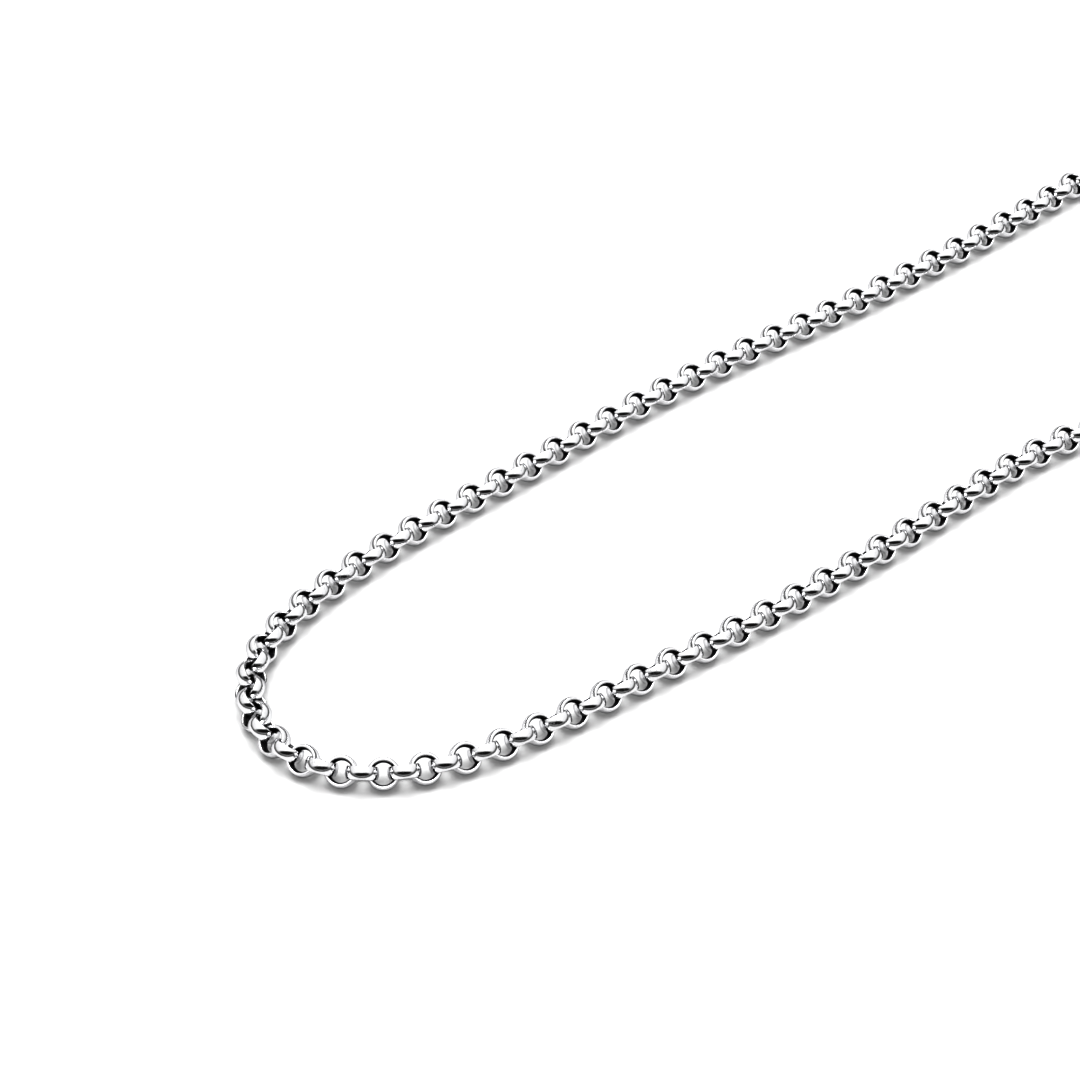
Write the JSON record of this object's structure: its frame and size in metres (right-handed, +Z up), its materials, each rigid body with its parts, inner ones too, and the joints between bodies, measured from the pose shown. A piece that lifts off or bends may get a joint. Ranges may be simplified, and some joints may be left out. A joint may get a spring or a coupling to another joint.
{
  "type": "round box chain necklace",
  "caption": "Necklace chain of round, thick bands, each leaning the other way from the next, closed by a plain barrel clasp between two small rings, lying flat in a long loop.",
  "frame": {"origin": "on the surface that the necklace lies on, under the middle of its box", "axes": "+Z up from the surface; +X along the loop, from its bend to its clasp; +Y across the loop, towards the far strand"},
  "size_m": [0.195, 0.0708, 0.0032],
  "materials": {
    "chain_steel": "polished, mirror bright, with fine hairline wear",
    "ring_steel": "polished wire",
    "clasp_steel": "polished, turned"
  },
  "bodies": {
    "root": {"chain_left": "chain_steel", "chain_right": "chain_steel", "ring_left": "ring_steel", "ring_right": "ring_steel", "clasp": "clasp_steel"}
  },
  "joints": []
}
